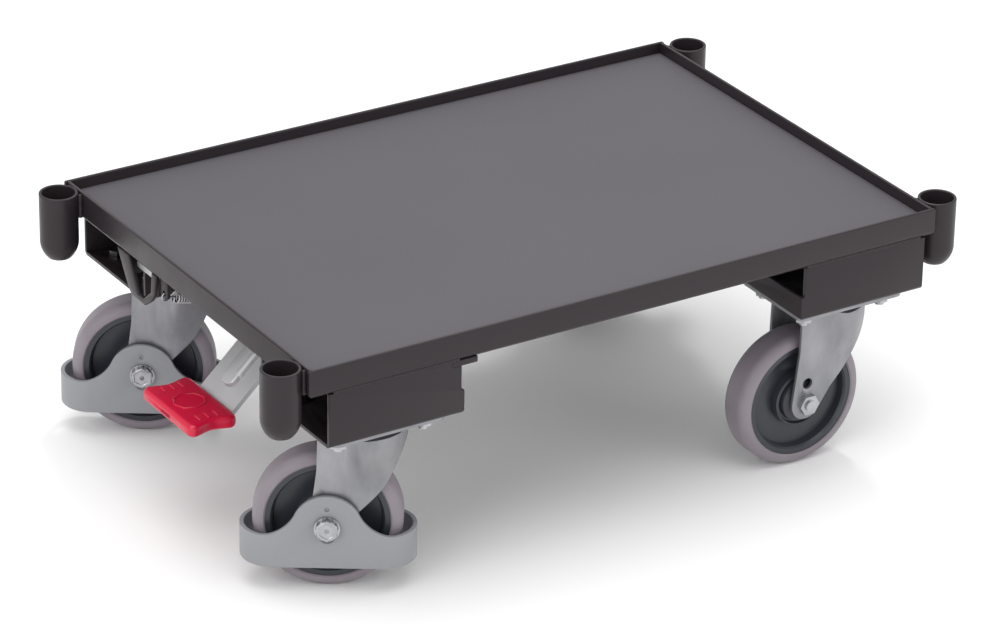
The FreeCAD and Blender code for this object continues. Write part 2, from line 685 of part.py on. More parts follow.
def foot_guard():
    """Ring round the wheel with a slotted dome on each side; it can ride up over an obstacle."""
    left = -TRAIL - GUARD_HALF_LONG
    right = -TRAIL + GUARD_HALF_LONG
    low = GUARD_LOW_Z - 1
    tall = AXLE_Z + GUARD_DOME_R + 2 - low
    inset = GUARD_OUTER * 0.999

    def stadium(shrink):
        reach = GUARD_OUTER - shrink
        radius = min(inset - shrink, reach * 0.999)
        return slab(in_xy([
            (left + shrink, -reach, radius), (right - shrink, -reach, radius),
            (right - shrink, reach, radius), (left + shrink, reach, radius),
        ], low), vec(0, 0, tall))

    ring = stadium(0.0).cut(stadium(GUARD_WALL))
    guard = guard_face().common(ring)
    slot = fused([
        rod(GUARD_SLOT_R, vec(-TRAIL, -GUARD_OUTER - 1, AXLE_Z), 2 * GUARD_OUTER + 2, Y_AXIS),
        rod(GUARD_SLOT_R, vec(-TRAIL, -GUARD_OUTER - 1, AXLE_Z - GUARD_TRAVEL),
            2 * GUARD_OUTER + 2, Y_AXIS),
        box(-TRAIL - GUARD_SLOT_R, -TRAIL + GUARD_SLOT_R, -GUARD_OUTER - 1, GUARD_OUTER + 1,
            AXLE_Z - GUARD_TRAVEL, AXLE_Z),
    ])
    recess = fused([
        rod(GUARD_RECESS_R, vec(-TRAIL, -GUARD_OUTER - 1, AXLE_Z), GUARD_RECESS + 1, Y_AXIS),
        rod(GUARD_RECESS_R, vec(-TRAIL, -GUARD_OUTER - 1, AXLE_Z - GUARD_TRAVEL), GUARD_RECESS + 1, Y_AXIS),
        box(-TRAIL - GUARD_RECESS_R, -TRAIL + GUARD_RECESS_R, -GUARD_OUTER - 1,
            -GUARD_OUTER + GUARD_RECESS, AXLE_Z - GUARD_TRAVEL, AXLE_Z),
        rod(GUARD_DIMPLE_R, vec(-TRAIL, -GUARD_OUTER - 1, AXLE_Z + GUARD_DIMPLE_UP),
            GUARD_RECESS + 1, Y_AXIS),
    ])
    other_side = recess.mirror(vec(0, 0, 0), Y_AXIS)
    return guard.cut(slot).cut(recess).cut(other_side)


def at_all_bolts(make):
    solids = []
    for side_x, side_y in CORNERS:
        for x, y in bolt_points(side_x, side_y):
            solids.append(make(x, y))
    return Part.makeCompound(solids)


def mount_bolt(x, y):
    """Hex bolt: head inside the box, end below the top plate."""
    head_z = BOX_FLOOR_Z + BOX_SHEET
    head = hexagon(BOLT_FLAT, BOLT_HEAD_HIGH, vec(x, y, head_z), Z_AXIS)
    shank = rod(BOLT_R, vec(x, y, BOLT_LOW_Z), head_z - BOLT_LOW_Z + 1)
    return fused([head, shank])


def mount_washer(x, y):
    low = BOX_FLOOR_Z - PLATE_THICK - BOLT_WASHER_THICK
    ring = rod(BOLT_WASHER_R, vec(x, y, low), BOLT_WASHER_THICK)
    return ring.cut(rod(BOLT_WASHER_BORE_R, vec(x, y, low - 1), BOLT_WASHER_THICK + 2))


def mount_nut(x, y):
    low = BOX_FLOOR_Z - PLATE_THICK - BOLT_WASHER_THICK - BOLT_NUT_HIGH
    nut = hexagon(BOLT_FLAT, BOLT_NUT_HIGH, vec(x, y, low), Z_AXIS)
    return nut.cut(rod(BOLT_R, vec(x, y, low - 1), BOLT_NUT_HIGH + 2))


# ---------------------------------------------------------------- brake

def shaft_bushes():
    """Flanged plastic bushes in the inner walls of the left boxes."""
    solids = []
    for side in (-1, 1):
        inner = side * (HALF_W - BOX_WIDTH)
        sleeve = rod(BUSH_R, vec(SHAFT_X, min(inner, inner + side * 5.0), SHAFT_Z), 5.0, Y_AXIS)
        flange = rod(BUSH_FLANGE_R, vec(SHAFT_X, min(inner, inner - side * 2.0), SHAFT_Z), 2.0, Y_AXIS)
        bush = fused([sleeve, flange])
        solids.append(bush.cut(rod(SHAFT_R + RUN_FIT, vec(SHAFT_X, inner - 10, SHAFT_Z), 20, Y_AXIS)))
    return Part.makeCompound(solids)


def brake_shaft():
    return rod(SHAFT_R, vec(SHAFT_X, -SHAFT_HALF, SHAFT_Z), 2 * SHAFT_HALF, Y_AXIS)


def shaft_ring(y0, y1):
    ring = rod(COLLAR_R, vec(SHAFT_X, y0, SHAFT_Z), y1 - y0, Y_AXIS)
    return ring.cut(rod(SHAFT_R, vec(SHAFT_X, y0 - 1, SHAFT_Z), y1 - y0 + 2, Y_AXIS))


def shaft_collars():
    near = HALF_W - BOX_WIDTH - 2.5
    return Part.makeCompound([shaft_ring(near - COLLAR_WIDE, near), shaft_ring(-near, -near + COLLAR_WIDE)])


def pedal_arm():
    """Sheet arm hung from the shaft, sloping outward and down, with a pressed bead and a flat foot."""
    half = ARM_WIDE / 2
    run = math.cos(math.radians(ARM_ANGLE))
    rise = math.sin(math.radians(ARM_ANGLE))
    length = 84.0
    top_x = ARM_LOW_X + length * run
    top_z = ARM_LOW_Z + length * rise
    core_out = PAD_X - PAD_LONG / 2 + 5.0
    sheet = ARM_SHEET
    bend_x = ARM_LOW_X - (ARM_LOW_Z - PAD_CORE_Z - sheet) / rise * run
    points = [
        (core_out, PAD_CORE_Z, 0),
        (bend_x + sheet * 0.45, PAD_CORE_Z, 5.0),
        (top_x + sheet * rise, top_z - sheet * run, 0),
        (top_x, top_z, 0),
        (bend_x, PAD_CORE_Z + sheet, 3.0),
        (core_out, PAD_CORE_Z + sheet, 0),
    ]
    sheet_solid = slab(in_xz(points, -half), vec(0, ARM_WIDE, 0))
    hub = rod(COLLAR_R, vec(SHAFT_X, -half, SHAFT_Z), ARM_WIDE, Y_AXIS)
    start = 24.0
    bead = rod(ARM_BEAD_R, vec(ARM_LOW_X + start * run, ARM_BEAD_Y, ARM_LOW_Z + start * rise),
               length - start - 8.0, vec(run, 0, rise))
    nose = Part.makeSphere(ARM_BEAD_R, vec(ARM_LOW_X + start * run, ARM_BEAD_Y,
                                           ARM_LOW_Z + start * rise))
    under = slab(in_xz([
        (top_x + sheet * rise, top_z - sheet * run, 0),
        (top_x + 30 * rise, top_z - 30 * run, 0),
        (ARM_LOW_X + 30 * rise, ARM_LOW_Z - 30 * run, 0),
        (ARM_LOW_X + sheet * rise, ARM_LOW_Z - sheet * run, 0),
    ], -half), vec(0, ARM_WIDE, 0))
    bead = fused([bead, nose]).cut(under)
    arm = fused([sheet_solid, hub, bead])
    return arm.cut(rod(SHAFT_R, vec(SHAFT_X, -half - 1, SHAFT_Z), ARM_WIDE + 2, Y_AXIS))


def pedal_pad():
    """Moulded foot plate slipped over the foot of the arm, its ends drawn in at the middle."""
    x0 = PAD_X - PAD_LONG / 2
    x1 = PAD_X + PAD_LONG / 2
    half = PAD_WIDE / 2
    low = PAD_TOP_Z - PAD_THICK
    plan = [
        (x0, -half, PAD_CORNER), (PAD_X, -half + PAD_WAIST, 30.0), (x1, -half, PAD_CORNER),
        (x1, half, PAD_CORNER), (PAD_X, half - PAD_WAIST, 30.0), (x0, half, PAD_CORNER),
    ]
    pad = slab(in_xy(plan, low), vec(0, 0, PAD_THICK))
    rims = [e for e in pad.Edges if e.BoundBox.ZLength < 1e-6 and abs(e.BoundBox.ZMax - PAD_TOP_Z) < 1e-6]
    pad = pad.makeFillet(3.0, rims)
    core_half = ARM_WIDE / 2 + 0.05
    pocket = box(x0 + 4.95, x1 + 1, -core_half, core_half, PAD_CORE_Z - 0.05, PAD_CORE_Z + ARM_SHEET + 0.05)
    mouth = slab(in_xz([
        (x1 - 7.0, PAD_CORE_Z - 0.05, 0), (x1 + 1, PAD_CORE_Z - 0.05, 0),
        (x1 + 1, PAD_TOP_Z + 1, 0), (x1 - 1.5, PAD_TOP_Z + 1, 0),
    ], -core_half), vec(0, 2 * core_half, 0))
    return pad.cut(pocket).cut(mouth)


def press_levers():
    """Sleeves on the shaft, each with a rounded nose over a plunger."""
    solids = []
    nose_x = -CASTER_X
    nose_z = PLUNGER_TOP_Z + PRESS_NOSE_GAP + PRESS_NOSE_R
    y0 = HALF_W - BOX_WIDTH + 7.0
    y1 = CASTER_Y + 8.0
    for side in (-1, 1):
        sleeve = rod(PRESS_RING_R, vec(SHAFT_X, y0, SHAFT_Z), y1 - y0, Y_AXIS)
        nose_y = CASTER_Y - 8.0
        nose = rod(PRESS_NOSE_R, vec(nose_x, nose_y, nose_z), y1 - nose_y, Y_AXIS)
        web = box(nose_x, SHAFT_X, nose_y, y1, nose_z - 2.5, nose_z + PRESS_NOSE_R)
        lever = fused([sleeve, nose, web])
        lever = lever.cut(rod(SHAFT_R, vec(SHAFT_X, y0 - 1, SHAFT_Z), y1 - y0 + 2, Y_AXIS))
        solids.append(flipped(lever, side < 0))
    return Part.makeCompound(solids)


def stop_lever():
    """Lever on the shaft whose tip stands behind the window of the bracket."""
    y0 = 68.0
    y1 = 90.0
    tip_x = -299.0
    ring = shaft_ring(y0, y1)
    arm = slab(in_xz([
        (SHAFT_X, SHAFT_Z + 5.0, 0), (-258.0, 192.5, 30.0), (tip_x, 197.0, 1.0),
        (tip_x, 202.5, 1.0), (-258.0, 198.0, 30.0), (SHAFT_X, SHAFT_Z + COLLAR_R - 1.5, 0),
    ], y0), vec(0, y1 - y0, 0))
    tip = slab(in_xz([
        (-276.0, 194.465, 0), (tip_x, 197.0, 1.0), (tip_x, 202.5, 1.0), (-276.0, 200.0, 0),
    ], y1 - 1), vec(0, 8.0, 0))
    arm = arm.cut(rod(SHAFT_R + 1.0, vec(SHAFT_X, y0 - 1, SHAFT_Z), y1 - y0 + 2, Y_AXIS))
    return fused([ring, arm, tip])


def plunger():
    """Push rod through the hollow kingpin with a flat shoe above the tread."""
    stem_low = SHOE_Z + SHOE_HIGH
    return turned_part([
        (0, SHOE_Z), (SHOE_R - 1, SHOE_Z), (SHOE_R, SHOE_Z + 1), (SHOE_R, stem_low),
        (PLUNGER_R, stem_low), (PLUNGER_R, PLUNGER_TOP_Z - PLUNGER_HEAD_HIGH),
        (PLUNGER_HEAD_R, PLUNGER_TOP_Z - PLUNGER_HEAD_HIGH),
        (PLUNGER_HEAD_R, PLUNGER_TOP_Z - 1.5), (PLUNGER_HEAD_R - 1.5, PLUNGER_TOP_Z),
        (0, PLUNGER_TOP_Z),
    ], 0, 0, 0, Z_AXIS)


def spring_lever():
    """Plate on the shaft that the tension spring pulls on, slotted for the spring's loop."""
    half = LEVER_THICK / 2
    ring = shaft_ring(SPRING_Y - half, SPRING_Y + half)
    shape = [(0, -COLLAR_R + 1, 0), (-34.0, -8.0, 6.0), (-37.5, 3.0, 4.0), (-30.0, 8.5, 5.0),
             (0, COLLAR_R - 1, 0)]
    points = [(SHAFT_X + x, SHAFT_Z + z, r) for x, z, r in shape]
    arm = slab(in_xz(points, SPRING_Y - half), vec(0, LEVER_THICK, 0))
    arm = arm.cut(rod(SHAFT_R + 1.0, vec(SHAFT_X, SPRING_Y - 3, SHAFT_Z), 6, Y_AXIS))
    x0, z0 = LEVER_EYE
    x1, z1 = LEVER_SLOT_END
    run = (x1 - x0) / math.hypot(x1 - x0, z1 - z0)
    rise = (z1 - z0) / math.hypot(x1 - x0, z1 - z0)
    across_x = -rise * LEVER_SLOT_R
    across_z = run * LEVER_SLOT_R
    middle = [(x0 + across_x, z0 + across_z, 0), (x1 + across_x, z1 + across_z, 0),
              (x1 - across_x, z1 - across_z, 0), (x0 - across_x, z0 - across_z, 0)]
    points = [(SHAFT_X + x, SHAFT_Z + z, r) for x, z, r in middle]
    slot = fused([
        slab(in_xz(points, SPRING_Y - 3), vec(0, 6, 0)),
        rod(LEVER_SLOT_R, vec(SHAFT_X + x0, SPRING_Y - 3, SHAFT_Z + z0), 6, Y_AXIS),
        rod(LEVER_SLOT_R, vec(SHAFT_X + x1, SPRING_Y - 3, SHAFT_Z + z1), 6, Y_AXIS),
    ])
    return fused([ring, arm]).cut(slot)


def return_spring():
    """Tension spring: round eye on the tab, close coil, long loop through the lever's slot."""
    dx = SHAFT_X + LEVER_EYE[0] - TAB_X
    dz = SHAFT_Z + LEVER_EYE[1] - HOOK_Z
    length = math.hypot(dx, dz)
    wire = SPRING_WIRE_R
    eye = SPRING_EYE_R
    loop = length - SPRING_LOOP
    body = loop - SPRING_LEAD
    turns = round(body / SPRING_PITCH)
    helix = Part.makeHelix(body / turns, body, SPRING_R)
    circle = Part.Wire(Part.makeCircle(wire, vec(SPRING_R, 0, 0), Y_AXIS))
    coil = Part.Wire(helix.Edges).makePipeShell([circle], True, True)
    coil.Placement = FreeCAD.Placement(vec(SPRING_LEAD, 0, 0), FreeCAD.Rotation(Z_AXIS, X_AXIS))
    bow = Part.makeTorus(eye, wire, vec(length - eye, 0, 0), Z_AXIS, 0, 360, 360)
    pieces = [
        coil,
        Part.makeTorus(eye, wire, vec(0, 0, 0), Y_AXIS, 0, 360, 360),
        rod(wire, vec(eye, 0, 0), SPRING_LEAD - eye, X_AXIS),
        Part.makeSphere(wire, vec(SPRING_LEAD, 0, 0)),
        rod(wire, vec(SPRING_LEAD, 0, -SPRING_R), SPRING_R),
        bow.cut(box(length - 2 * eye - 2, length - eye, -2 * eye, 2 * eye, -2, 2)),
        rod(wire, vec(loop, -eye, 0), SPRING_LOOP - eye, X_AXIS),
        rod(wire, vec(loop, eye, 0), SPRING_LOOP - eye, X_AXIS),
        rod(wire, vec(loop, -eye, 0), 2 * eye, Y_AXIS),
        Part.makeSphere(wire, vec(loop, -eye, 0)),
        Part.makeSphere(wire, vec(loop, eye, 0)),
        rod(wire, vec(loop, 0, -SPRING_R), SPRING_R),
    ]
    spring = fused(pieces)
    tilt = FreeCAD.Rotation(X_AXIS, vec(dx, 0, dz))
    spring.Placement = FreeCAD.Placement(vec(TAB_X, SPRING_Y, HOOK_Z), tilt)
    return spring


CORNERS = [(-1, -1), (1, -1), (-1, 1), (1, 1)]
NAMES = {(-1, -1): "fl", (1, -1): "fr", (-1, 1): "bl", (1, 1): "br"}


def save(shape, node):
    shape.exportStep("parts/" + node + ".step")


def main():
    os.makedirs("parts", exist_ok=True)
    save(long_rail(False), "rail_front")
    save(long_rail(True), "rail_back")
    save(short_rail(False), "rail_left")
    save(short_rail(True), "rail_right")
    save(deck_board(), "deck_board")
    save(cross_bar(), "cross_bar")
    save(window_bracket(), "window_bracket")
    save(spring_tab(), "spring_tab")
    save(shaft_bushes(), "shaft_bushes")
    save(at_all_bolts(mount_bolt), "mount_bolts")
    save(at_all_bolts(mount_washer), "mount_washers")
    save(at_all_bolts(mount_nut), "mount_nuts")
    seals = []
    balls = []
    pins = []
    for side_x, side_y in CORNERS:
        corner = NAMES[(side_x, side_y)]
        guarded = side_x < 0
        save(corner_socket(side_x, side_y), "socket_" + corner)
        save(caster_box(side_x, side_y), "box_" + corner)
        save(top_plate(side_x, side_y), "top_plate_" + corner)
        seals.append(at_caster(bearing_seal(), side_x, side_y))
        balls.extend(at_caster(bearing_balls(), side_x, side_y).Solids)
        pins.append(at_caster(kingpin(), side_x, side_y))
        save(at_caster(fork(), side_x, side_y), "fork_" + corner)
        save(at_caster(wheel_core(), side_x, side_y), "wheel_core_" + corner)
        save(at_caster(tread(), side_x, side_y), "tread_" + corner)
        save(at_caster(axle_bolt(guarded), side_x, side_y), "axle_bolt_" + corner)
        save(at_caster(axle_nut(guarded), side_x, side_y), "axle_nut_" + corner)
        if guarded:
            save(at_caster(foot_guard(), side_x, side_y), "foot_guard_" + corner)
            save(at_caster(plunger(), side_x, side_y), "plunger_" + corner)
    save(Part.makeCompound(seals), "bearing_seals")
    save(Part.makeCompound(balls), "bearing_balls")
    save(Part.makeCompound(pins), "kingpins")
    save(brake_shaft(), "brake_shaft")
    save(shaft_collars(), "shaft_collars")
    save(press_levers(), "press_levers")
    save(stop_lever(), "stop_lever")
    save(pedal_arm(), "pedal_arm")
    save(pedal_pad(), "pedal_pad")
    save(spring_lever(), "spring_lever")
    save(return_spring(), "return_spring")


main()
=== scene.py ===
import bpy
import bmesh
import json
import math
from mathutils import Matrix, Vector


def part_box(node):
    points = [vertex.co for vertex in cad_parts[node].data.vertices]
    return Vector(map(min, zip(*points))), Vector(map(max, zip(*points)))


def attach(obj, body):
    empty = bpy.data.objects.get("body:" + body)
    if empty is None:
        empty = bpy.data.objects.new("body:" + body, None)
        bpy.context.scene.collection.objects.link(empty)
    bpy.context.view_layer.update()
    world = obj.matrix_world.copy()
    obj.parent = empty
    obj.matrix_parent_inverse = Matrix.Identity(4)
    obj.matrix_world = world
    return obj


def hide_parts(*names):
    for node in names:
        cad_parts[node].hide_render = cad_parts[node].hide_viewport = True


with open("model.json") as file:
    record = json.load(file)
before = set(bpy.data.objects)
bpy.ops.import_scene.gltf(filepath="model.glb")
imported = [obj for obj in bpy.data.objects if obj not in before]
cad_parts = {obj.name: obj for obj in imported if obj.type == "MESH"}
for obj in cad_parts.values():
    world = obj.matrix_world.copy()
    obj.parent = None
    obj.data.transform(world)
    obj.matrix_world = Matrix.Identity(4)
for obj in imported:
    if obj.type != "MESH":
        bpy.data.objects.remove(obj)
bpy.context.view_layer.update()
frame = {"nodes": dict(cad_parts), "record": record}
corners = {"fl": (-1, -1), "fr": (1, -1), "bl": (-1, 1), "br": (1, 1)}  # which end and side each corner is at
print("frame loaded:", len(frame["nodes"]), "nodes")


# a socket's value, so that shader maths can be written as an expression
class Signal:
    def __init__(self, finish, socket):
        self.finish = finish
        self.socket = socket

    def maths(self, operation, first, second):
        node = self.finish.add("ShaderNodeMath", {"operation": operation}, {0: first, 1: second})
        return Signal(self.finish, node.outputs[0])

    def __add__(self, other):
        return self.maths("ADD", self, other)

    def __radd__(self, other):
        return self.maths("ADD", other, self)

    def __mul__(self, other):
        return self.maths("MULTIPLY", self, other)

    def __rmul__(self, other):
        return self.maths("MULTIPLY", other, self)


# one material: its node tree, its shader and the few patterns that the finishes share
class Finish:
    def __init__(self, name, constants):
        self.material = bpy.data.materials.new(name)
        self.material.use_nodes = True
        self.tree = self.material.node_tree
        self.shader = self.tree.nodes["Principled BSDF"]
        for socket, value in constants.items():
            self.shader.inputs[socket].default_value = value
        place = self.add("ShaderNodeTexCoord", {}, {})
        self.place = Signal(self, place.outputs["Object"])

    def add(self, kind, settings, inputs):
        node = self.tree.nodes.new(kind)
        for name, value in settings.items():
            setattr(node, name, value)
        for name, value in inputs.items():
            if isinstance(value, Signal):
                self.tree.links.new(value.socket, node.inputs[name])
            else:
                node.inputs[name].default_value = value
        return node

    def noise(self, scale, detail, roughness=0.5, stretch=(1, 1, 1)):
        spot = self.add("ShaderNodeVectorMath", {"operation": "MULTIPLY"}, {0: self.place, 1: stretch})
        node = self.add("ShaderNodeTexNoise", {}, {
            "Vector": Signal(self, spot.outputs[0]), "Scale": scale, "Detail": detail,
            "Roughness": roughness})
        return Signal(self, node.outputs["Fac"])

    def ramp(self, signal, low, high, lowest=0.0, highest=1.0):
        node = self.add("ShaderNodeMapRange", {"clamp": True}, {
            "Value": signal, "From Min": low, "From Max": high, "To Min": lowest, "To Max": highest})
        return Signal(self, node.outputs[0])

    def mixColour(self, factor, first, second):
        node = self.add("ShaderNodeMix", {"data_type": "RGBA"}, {0: factor, 6: first, 7: second})
        return Signal(self, node.outputs[2])

    def bump(self, height, distance, strength):
        node = self.add("ShaderNodeBump", {}, {"Height": height, "Distance": distance, "Strength": strength})
        self.feed("Normal", Signal(self, node.outputs[0]))

    def feed(self, socket, signal):
        self.tree.links.new(signal.socket, self.shader.inputs[socket])


def paint(red, green, blue):
    return (red, green, blue, 1.0)


powderCoat = {
    "colour": paint(0.0215, 0.0165, 0.0195),
    "faded": paint(0.026, 0.0205, 0.0240),
    "fadeScale": 9.0,
    "glossScale": 40.0,
    "roughness": (0.30, 0.40),
    "peelScale": 900.0,
    "peelDepth": 0.00008,
    "peelStrength": 0.35,
}


def makePowderCoat():
    finish = Finish("powderCoat", {"Specular IOR Level": 0.27})
    fade = finish.noise(powderCoat["fadeScale"], 3.0)
    finish.feed("Base Color", finish.mixColour(fade, powderCoat["colour"], powderCoat["faded"]))
    gloss = finish.noise(powderCoat["glossScale"], 3.0)
    finish.feed("Roughness", finish.ramp(gloss, 0.3, 0.7, *powderCoat["roughness"]))
    peel = finish.noise(powderCoat["peelScale"], 1.0)
    finish.bump(peel, powderCoat["peelDepth"], powderCoat["peelStrength"])
    return finish.material


boardCoat = {
    "colour": paint(0.083, 0.078, 0.090),
    "speckle": paint(0.091, 0.086, 0.098),
    "grain": 1400.0,
    "grainDepth": 0.00005,
    "grainStrength": 0.25,
    "glossScale": 6.0,
    "roughness": (0.56, 0.64),
}


def makeBoardCoat():
    finish = Finish("boardCoat", {"Specular IOR Level": 0.25})
    speckle = finish.ramp(finish.noise(boardCoat["grain"], 2.0), 0.35, 0.65)
    finish.feed("Base Color", finish.mixColour(speckle, boardCoat["colour"], boardCoat["speckle"]))
    gloss = finish.noise(boardCoat["glossScale"], 3.0)
    finish.feed("Roughness", finish.ramp(gloss, 0.3, 0.7, *boardCoat["roughness"]))
    finish.bump(speckle, boardCoat["grainDepth"], boardCoat["grainStrength"])
    return finish.material


zincPlate = {
    "colour": paint(0.32, 0.315, 0.33),
    "dull": paint(0.225, 0.23, 0.25),
    "gold": paint(0.31, 0.285, 0.255),
    # painted light: the lighter colour given to arm and lever for the light they catch facing up
    "bright": paint(0.66, 0.66, 0.67),
    "cloudScale": 28.0,
    "cloudStretch": (1, 1, 0.45),
    "goldScale": 11.0,
    "mostGold": 0.5,
    "smoothest": 0.28,
    "cloudRoughness": 0.18,
    "grain": 260.0,
    "grainStretch": (1, 1, 0.3),
    "grainDepth": 0.0001,
    "grainStrength": 0.25,
}


# the last argument moves the colour from the dull plating of the forks towards a lighter colour for arm and
# lever: painted light, as arm and lever face up and reflect the bright floor, while their plating is the same
# as the forks'
def makeZincPlate(name, metallic, paintedLightShare):
    finish = Finish(name, {"Metallic": metallic})
    patches = finish.noise(zincPlate["cloudScale"], 4.0, 0.6, zincPlate["cloudStretch"])
    cloud = finish.ramp(patches, 0.35, 0.68)
    tint = finish.ramp(finish.noise(zincPlate["goldScale"], 2.0), 0.55, 0.75, 0.0, zincPlate["mostGold"])
    plating = finish.mixColour(cloud, zincPlate["colour"], zincPlate["dull"])
    tinted = finish.mixColour(tint, plating, zincPlate["gold"])
    finish.feed("Base Color", finish.mixColour(paintedLightShare, tinted, zincPlate["bright"]))
    finish.feed("Roughness", zincPlate["smoothest"] + cloud * zincPlate["cloudRoughness"])
    grain = finish.noise(zincPlate["grain"], 3.0, 0.6, zincPlate["grainStretch"])
    finish.bump(grain, zincPlate["grainDepth"], zincPlate["grainStrength"])
    return finish.material


brightZinc = {
    "colour": paint(0.50, 0.50, 0.51),
    "shade": paint(0.30, 0.31, 0.33),
    "cloudScale": 120.0,
    "grain": 700.0,
    "grainDepth": 0.00006,
    "grainStrength": 0.3,
}


def makeBrightZinc(name, roughness):
    finish = Finish(name, {"Metallic": 1.0, "Roughness": roughness})
    cloud = finish.noise(brightZinc["cloudScale"], 2.0)
    finish.feed("Base Color", finish.mixColour(cloud, brightZinc["colour"], brightZinc["shade"]))
    finish.bump(finish.noise(brightZinc["grain"], 2.0), brightZinc["grainDepth"], brightZinc["grainStrength"])
    return finish.material


greyTread = {
    "colour": paint(0.215, 0.188, 0.215),
    "worn": paint(0.250, 0.222, 0.250),
    "wearScale": 30.0,
    "smoothest": 0.44,
    "wornRoughness": 0.12,
    "grain": 900.0,
    "grainDepth": 0.00008,
    "grainStrength": 0.3,
}


def makeGreyTread():
    finish = Finish("greyTread", {"Specular IOR Level": 0.4})
    wear = finish.ramp(finish.noise(greyTread["wearScale"], 4.0), 0.3, 0.7)
    finish.feed("Base Color", finish.mixColour(wear, greyTread["colour"], greyTread["worn"]))
    finish.feed("Roughness", greyTread["smoothest"] + wear * greyTread["wornRoughness"])
    finish.bump(finish.noise(greyTread["grain"], 3.0), greyTread["grainDepth"], greyTread["grainStrength"])
    return finish.material


plastic = {
    "cloudScale": 14.0,
    "glossScale": 50.0,
    "smoother": 0.04,
    "rougher": 0.05,
    "grainStrength": 0.3,
}
wheelPlastic = {"colour": paint(0.026, 0.028, 0.038), "shade": paint(0.034, 0.036, 0.046),
                "roughness": 0.34, "grain": 800.0, "grainDepth": 0.00006}
guardPlastic = {"colour": paint(0.245, 0.250, 0.268), "shade": paint(0.268, 0.274, 0.292),
                "roughness": 0.42, "grain": 1100.0, "grainDepth": 0.00008}
pedalRed = {"colour": paint(0.60, 0.004, 0.040), "shade": paint(0.54, 0.003, 0.036),
            "roughness": 0.32, "grain": 700.0, "grainDepth": 0.00008}
bushPlastic = {"colour": paint(0.03, 0.03, 0.033), "shade": paint(0.04, 0.04, 0.043),
               "roughness": 0.45, "grain": 900.0, "grainDepth": 0.00006}
sealBlack = {"colour": paint(0.012, 0.012, 0.013), "shade": paint(0.018, 0.018, 0.02),
             "roughness": 0.55, "grain": 900.0, "grainDepth": 0.00006}


def makePlastic(name, look):
    finish = Finish(name, {"Specular IOR Level": 0.5})
    cloud = finish.noise(plastic["cloudScale"], 3.0)
    finish.feed("Base Color", finish.mixColour(cloud, look["colour"], look["shade"]))
    gloss = finish.noise(plastic["glossScale"], 2.0)
    finish.feed("Roughness", finish.ramp(gloss, 0.3, 0.7, look["roughness"] - plastic["smoother"],
                                         look["roughness"] + plastic["rougher"]))
    finish.bump(finish.noise(look["grain"], 2.0), look["grainDepth"], plastic["grainStrength"])
    return finish.material


finishes = {
    "frame_paint": makePowderCoat(),
    "deck_coat": makeBoardCoat(),
    "zinc_sheet": makeZincPlate("zincPlate", metallic=0.68, paintedLightShare=0.0),
    # painted light: a lighter copy of the zinc plating, for arm and lever that face up towards the light
    "painted_light_zinc": makeZincPlate("paintedLightZinc", metallic=0.40, paintedLightShare=0.75),
    "bolt_zinc": makeBrightZinc("boltZinc", roughness=0.24),
    "spring_wire": makeBrightZinc("springWire", roughness=0.18),
    "tread_grey": makeGreyTread(),
    "wheel_plastic": makePlastic("wheelPlastic", wheelPlastic),
    "guard_plastic": makePlastic("guardPlastic", guardPlastic),
    "pedal_red": makePlastic("pedalRed", pedalRed),
    "bush_plastic": makePlastic("bushPlastic", bushPlastic),
    "seal_black": makePlastic("sealBlack", sealBlack),
}
for entry in frame["record"]["subparts"]:
    node = frame["nodes"][entry["node"]]
    node.data.materials.clear()
    node.data.materials.append(finishes[entry["material_slot"]])
# painted light: arm and lever take the lighter copy of the zinc for the light they catch, not a different
# plating
for name in ("pedal_arm", "stop_lever"):
    frame["nodes"][name].data.materials[0] = finishes["painted_light_zinc"]
print("finishes made:", len(finishes))


def newPiece(name, form, body, finish):
    mesh = bpy.data.meshes.new(name)
    form.to_mesh(mesh)
    form.free()
    mesh.shade_smooth()
    piece = bpy.data.objects.new(name, mesh)
    bpy.context.collection.objects.link(piece)
    mesh.materials.append(finishes[finish])
    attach(piece, body)
    return piece


def roundEdges(form, edges, radius, segments):
    bmesh.ops.bevel(form, geom=list(edges), offset=radius, offset_type="OFFSET", segments=segments,
                    profile=0.5, affect="EDGES", clamp_overlap=True, material=-1)


softEdge = {
    "sharpAngle": 32.0,
    "flatAngle": 0.6,
    "joinDistance": 1e-6,
    "moulded": (0.0011, 3),
    "sheet": (0.0005, 2),
}


def sharpEdges(form):
    angle = math.radians(softEdge["sharpAngle"])
    return [edge for edge in form.edges if len(edge.link_faces) == 2 and edge.calc_face_angle() > angle]


# a CAD node's own shape with its sharp edges rounded, as folded sheet and mouldings have them
def soften(node, body, slot, kind):
    radius, segments = softEdge[kind]
    form = bmesh.new()
    form.from_mesh(frame["nodes"][node].data)
    bmesh.ops.remove_doubles(form, verts=form.verts[:], dist=softEdge["joinDistance"])
    bmesh.ops.dissolve_limit(form, angle_limit=math.radians(softEdge["flatAngle"]), verts=form.verts[:],
                             edges=form.edges[:])
    roundEdges(form, sharpEdges(form), radius, segments)
    piece = newPiece(node + "_form", form, body, slot)
    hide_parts(node)


pad = {
    "cornerRadius": 0.0075,
    "cornerSegments": 6,
    "waist": 0.0045,
    "waistCuts": 11,
    "edgeRadius": 0.0042,
    "edgeSegments": 5,
    "ribSize": (0.0024, 0.0095, 0.0022),
    "ribStep": 0.0085,
    "ribInset": 0.0135,
    "ribSunk": 0.0003,
    "ribRadius": 0.0009,
    "ringRadius": 0.0150,
    "ringTaper": 0.0003,
    "ringSides": 8,
    "ringWidth": 0.0012,
    "ringHeight": 0.0011,
    "slotSize": (0.016, 0.0034),
    "slotInset": 0.0055,
    "slotDepth": 0.004,
    "tiny": 1e-5,
}


def addBlock(form, centre, size, radius):
    made = bmesh.ops.create_cube(form, size=1.0)["verts"]
    bmesh.ops.scale(form, vec=size, verts=made)
    bmesh.ops.translate(form, vec=centre, verts=made)
    edges = [edge for edge in form.edges if edge.verts[0] in made]
    roundEdges(form, edges, radius, 2)


